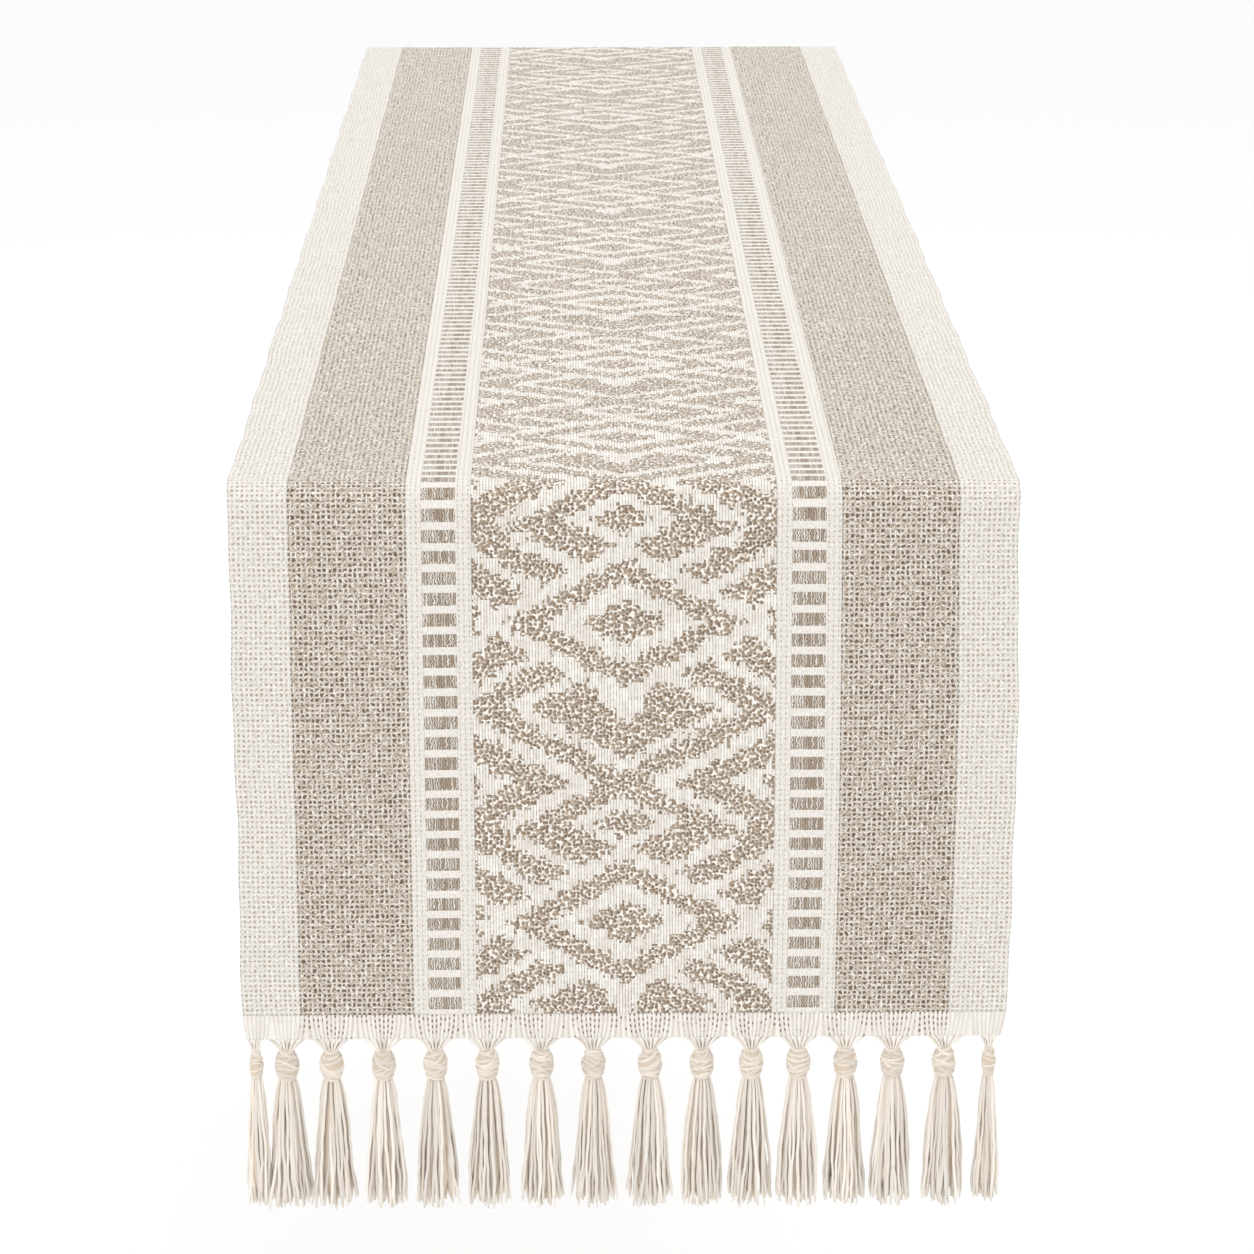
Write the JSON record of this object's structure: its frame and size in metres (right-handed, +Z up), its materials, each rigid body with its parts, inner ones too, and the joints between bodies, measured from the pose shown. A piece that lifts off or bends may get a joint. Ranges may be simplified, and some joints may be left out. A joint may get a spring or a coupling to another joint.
{
  "type": "table runner",
  "caption": "Long woven table runner with a patterned centre panel, banded sides and knotted tassels, draped over both ends of a table.",
  "frame": {"origin": "middle of the cloth's underside where it lies on the table, so Z = 0 is the table's surface", "axes": "+Y along the runner towards its back end, +X across its width, +Z up out of the table"},
  "size_m": [0.33, 1.2052, 0.3261],
  "materials": {
    "jacquard_cloth": "matte woven cotton",
    "ladder_cloth": "matte woven cotton",
    "taupe_cloth": "matte woven cotton",
    "cream_cloth": "matte woven cotton",
    "tassel_yarn": "matte woven cotton"
  },
  "bodies": {
    "top": {"centre_panel_top": "jacquard_cloth", "ladder_band_left_top": "ladder_cloth", "ladder_band_right_top": "ladder_cloth", "taupe_band_left_top": "taupe_cloth", "taupe_band_right_top": "taupe_cloth", "cream_border_left_top": "cream_cloth", "cream_border_right_top": "cream_cloth", "front_fold": "taupe_cloth", "back_fold": "taupe_cloth"},
    "front_drop": {"centre_panel_front": "jacquard_cloth", "ladder_band_left_front": "ladder_cloth", "ladder_band_right_front": "ladder_cloth", "taupe_band_left_front": "taupe_cloth", "taupe_band_right_front": "taupe_cloth", "cream_border_left_front": "cream_cloth", "cream_border_right_front": "cream_cloth", "front_heading": "cream_cloth"},
    "back_drop": {"centre_panel_back": "jacquard_cloth", "ladder_band_left_back": "ladder_cloth", "ladder_band_right_back": "ladder_cloth", "taupe_band_left_back": "taupe_cloth", "taupe_band_right_back": "taupe_cloth", "cream_border_left_back": "cream_cloth", "cream_border_right_back": "cream_cloth", "back_heading": "cream_cloth"},
    "front_tassel_01": {"front_tassel_01": "tassel_yarn"},
    "front_tassel_02": {"front_tassel_02": "tassel_yarn"},
    "front_tassel_03": {"front_tassel_03": "tassel_yarn"},
    "front_tassel_04": {"front_tassel_04": "tassel_yarn"},
    "front_tassel_05": {"front_tassel_05": "tassel_yarn"},
    "front_tassel_06": {"front_tassel_06": "tassel_yarn"},
    "front_tassel_07": {"front_tassel_07": "tassel_yarn"},
    "front_tassel_08": {"front_tassel_08": "tassel_yarn"},
    "front_tassel_09": {"front_tassel_09": "tassel_yarn"},
    "front_tassel_10": {"front_tassel_10": "tassel_yarn"},
    "front_tassel_11": {"front_tassel_11": "tassel_yarn"},
    "front_tassel_12": {"front_tassel_12": "tassel_yarn"},
    "front_tassel_13": {"front_tassel_13": "tassel_yarn"},
    "front_tassel_14": {"front_tassel_14": "tassel_yarn"},
    "front_tassel_15": {"front_tassel_15": "tassel_yarn"},
    "front_tassel_16": {"front_tassel_16": "tassel_yarn"},
    "back_tassel_01": {"back_tassel_01": "tassel_yarn"},
    "back_tassel_02": {"back_tassel_02": "tassel_yarn"},
    "back_tassel_03": {"back_tassel_03": "tassel_yarn"},
    "back_tassel_04": {"back_tassel_04": "tassel_yarn"},
    "back_tassel_05": {"back_tassel_05": "tassel_yarn"},
    "back_tassel_06": {"back_tassel_06": "tassel_yarn"},
    "back_tassel_07": {"back_tassel_07": "tassel_yarn"},
    "back_tassel_08": {"back_tassel_08": "tassel_yarn"},
    "back_tassel_09": {"back_tassel_09": "tassel_yarn"},
    "back_tassel_10": {"back_tassel_10": "tassel_yarn"},
    "back_tassel_11": {"back_tassel_11": "tassel_yarn"},
    "back_tassel_12": {"back_tassel_12": "tassel_yarn"},
    "back_tassel_13": {"back_tassel_13": "tassel_yarn"},
    "back_tassel_14": {"back_tassel_14": "tassel_yarn"},
    "back_tassel_15": {"back_tassel_15": "tassel_yarn"},
    "back_tassel_16": {"back_tassel_16": "tassel_yarn"}
  },
  "joints": [
    {"name": "front_drop_lift", "type": "hinge", "parent": "top", "child": "front_drop", "pos_m": [0, -0.59127, -0.00173], "axis": [-1, 0, 0], "range_deg": [-20, 90], "deforming": ["front_fold"]},
    {"name": "back_drop_lift", "type": "hinge", "parent": "top", "child": "back_drop", "pos_m": [0, 0.59127, -0.00173], "axis": [1, 0, 0], "range_deg": [-20, 90], "deforming": ["back_fold"]},
    {"name": "front_tassel_01_swing", "type": "hinge", "parent": "front_drop", "child": "front_tassel_01", "pos_m": [-0.1599, -0.5938, -0.2481], "axis": [-1, 0, 0], "range_deg": [-90, 90]},
    {"name": "front_tassel_02_swing", "type": "hinge", "parent": "front_drop", "child": "front_tassel_02", "pos_m": [-0.14658, -0.5938, -0.2481], "axis": [-1, 0, 0], "range_deg": [-90, 90]},
    {"name": "front_tassel_03_swing", "type": "hinge", "parent": "front_drop", "child": "front_tassel_03", "pos_m": [-0.1271, -0.5938, -0.2481], "axis": [-1, 0, 0], "range_deg": [-90, 90]},
    {"name": "front_tassel_04_swing", "type": "hinge", "parent": "front_drop", "child": "front_tassel_04", "pos_m": [-0.10455, -0.5938, -0.2481], "axis": [-1, 0, 0], "range_deg": [-90, 90]},
    {"name": "front_tassel_05_swing", "type": "hinge", "parent": "front_drop", "child": "front_tassel_05", "pos_m": [-0.082, -0.5938, -0.2481], "axis": [-1, 0, 0], "range_deg": [-90, 90]},
    {"name": "front_tassel_06_swing", "type": "hinge", "parent": "front_drop", "child": "front_tassel_06", "pos_m": [-0.05945, -0.5938, -0.2481], "axis": [-1, 0, 0], "range_deg": [-90, 90]},
    {"name": "front_tassel_07_swing", "type": "hinge", "parent": "front_drop", "child": "front_tassel_07", "pos_m": [-0.03587, -0.5938, -0.2481], "axis": [-1, 0, 0], "range_deg": [-90, 90]},
    {"name": "front_tassel_08_swing", "type": "hinge", "parent": "front_drop", "child": "front_tassel_08", "pos_m": [-0.01333, -0.5938, -0.2481], "axis": [-1, 0, 0], "range_deg": [-90, 90]},
    {"name": "front_tassel_09_swing", "type": "hinge", "parent": "front_drop", "child": "front_tassel_09", "pos_m": [0.01128, -0.5938, -0.2481], "axis": [-1, 0, 0], "range_deg": [-90, 90]},
    {"name": "front_tassel_10_swing", "type": "hinge", "parent": "front_drop", "child": "front_tassel_10", "pos_m": [0.03383, -0.5938, -0.2481], "axis": [-1, 0, 0], "range_deg": [-90, 90]},
    {"name": "front_tassel_11_swing", "type": "hinge", "parent": "front_drop", "child": "front_tassel_11", "pos_m": [0.05535, -0.5938, -0.2481], "axis": [-1, 0, 0], "range_deg": [-90, 90]},
    {"name": "front_tassel_12_swing", "type": "hinge", "parent": "front_drop", "child": "front_tassel_12", "pos_m": [0.07585, -0.5938, -0.2481], "axis": [-1, 0, 0], "range_deg": [-90, 90]},
    {"name": "front_tassel_13_swing", "type": "hinge", "parent": "front_drop", "child": "front_tassel_13", "pos_m": [0.09635, -0.5938, -0.2481], "axis": [-1, 0, 0], "range_deg": [-90, 90]},
    {"name": "front_tassel_14_swing", "type": "hinge", "parent": "front_drop", "child": "front_tassel_14", "pos_m": [0.11685, -0.5938, -0.2481], "axis": [-1, 0, 0], "range_deg": [-90, 90]},
    {"name": "front_tassel_15_swing", "type": "hinge", "parent": "front_drop", "child": "front_tassel_15", "pos_m": [0.1394, -0.5938, -0.2481], "axis": [-1, 0, 0], "range_deg": [-90, 90]},
    {"name": "front_tassel_16_swing", "type": "hinge", "parent": "front_drop", "child": "front_tassel_16", "pos_m": [0.15887, -0.5938, -0.2481], "axis": [-1, 0, 0], "range_deg": [-90, 90]},
    {"name": "back_tassel_01_swing", "type": "hinge", "parent": "back_drop", "child": "back_tassel_01", "pos_m": [-0.1599, 0.5938, -0.2481], "axis": [1, 0, 0], "range_deg": [-90, 90]},
    {"name": "back_tassel_02_swing", "type": "hinge", "parent": "back_drop", "child": "back_tassel_02", "pos_m": [-0.14658, 0.5938, -0.2481], "axis": [1, 0, 0], "range_deg": [-90, 90]},
    {"name": "back_tassel_03_swing", "type": "hinge", "parent": "back_drop", "child": "back_tassel_03", "pos_m": [-0.1271, 0.5938, -0.2481], "axis": [1, 0, 0], "range_deg": [-90, 90]},
    {"name": "back_tassel_04_swing", "type": "hinge", "parent": "back_drop", "child": "back_tassel_04", "pos_m": [-0.10455, 0.5938, -0.2481], "axis": [1, 0, 0], "range_deg": [-90, 90]},
    {"name": "back_tassel_05_swing", "type": "hinge", "parent": "back_drop", "child": "back_tassel_05", "pos_m": [-0.082, 0.5938, -0.2481], "axis": [1, 0, 0], "range_deg": [-90, 90]},
    {"name": "back_tassel_06_swing", "type": "hinge", "parent": "back_drop", "child": "back_tassel_06", "pos_m": [-0.05945, 0.5938, -0.2481], "axis": [1, 0, 0], "range_deg": [-90, 90]},
    {"name": "back_tassel_07_swing", "type": "hinge", "parent": "back_drop", "child": "back_tassel_07", "pos_m": [-0.03587, 0.5938, -0.2481], "axis": [1, 0, 0], "range_deg": [-90, 90]},
    {"name": "back_tassel_08_swing", "type": "hinge", "parent": "back_drop", "child": "back_tassel_08", "pos_m": [-0.01333, 0.5938, -0.2481], "axis": [1, 0, 0], "range_deg": [-90, 90]},
    {"name": "back_tassel_09_swing", "type": "hinge", "parent": "back_drop", "child": "back_tassel_09", "pos_m": [0.01128, 0.5938, -0.2481], "axis": [1, 0, 0], "range_deg": [-90, 90]},
    {"name": "back_tassel_10_swing", "type": "hinge", "parent": "back_drop", "child": "back_tassel_10", "pos_m": [0.03383, 0.5938, -0.2481], "axis": [1, 0, 0], "range_deg": [-90, 90]},
    {"name": "back_tassel_11_swing", "type": "hinge", "parent": "back_drop", "child": "back_tassel_11", "pos_m": [0.05535, 0.5938, -0.2481], "axis": [1, 0, 0], "range_deg": [-90, 90]},
    {"name": "back_tassel_12_swing", "type": "hinge", "parent": "back_drop", "child": "back_tassel_12", "pos_m": [0.07585, 0.5938, -0.2481], "axis": [1, 0, 0], "range_deg": [-90, 90]},
    {"name": "back_tassel_13_swing", "type": "hinge", "parent": "back_drop", "child": "back_tassel_13", "pos_m": [0.09635, 0.5938, -0.2481], "axis": [1, 0, 0], "range_deg": [-90, 90]},
    {"name": "back_tassel_14_swing", "type": "hinge", "parent": "back_drop", "child": "back_tassel_14", "pos_m": [0.11685, 0.5938, -0.2481], "axis": [1, 0, 0], "range_deg": [-90, 90]},
    {"name": "back_tassel_15_swing", "type": "hinge", "parent": "back_drop", "child": "back_tassel_15", "pos_m": [0.1394, 0.5938, -0.2481], "axis": [1, 0, 0], "range_deg": [-90, 90]},
    {"name": "back_tassel_16_swing", "type": "hinge", "parent": "back_drop", "child": "back_tassel_16", "pos_m": [0.15887, 0.5938, -0.2481], "axis": [1, 0, 0], "range_deg": [-90, 90]}
  ]
}
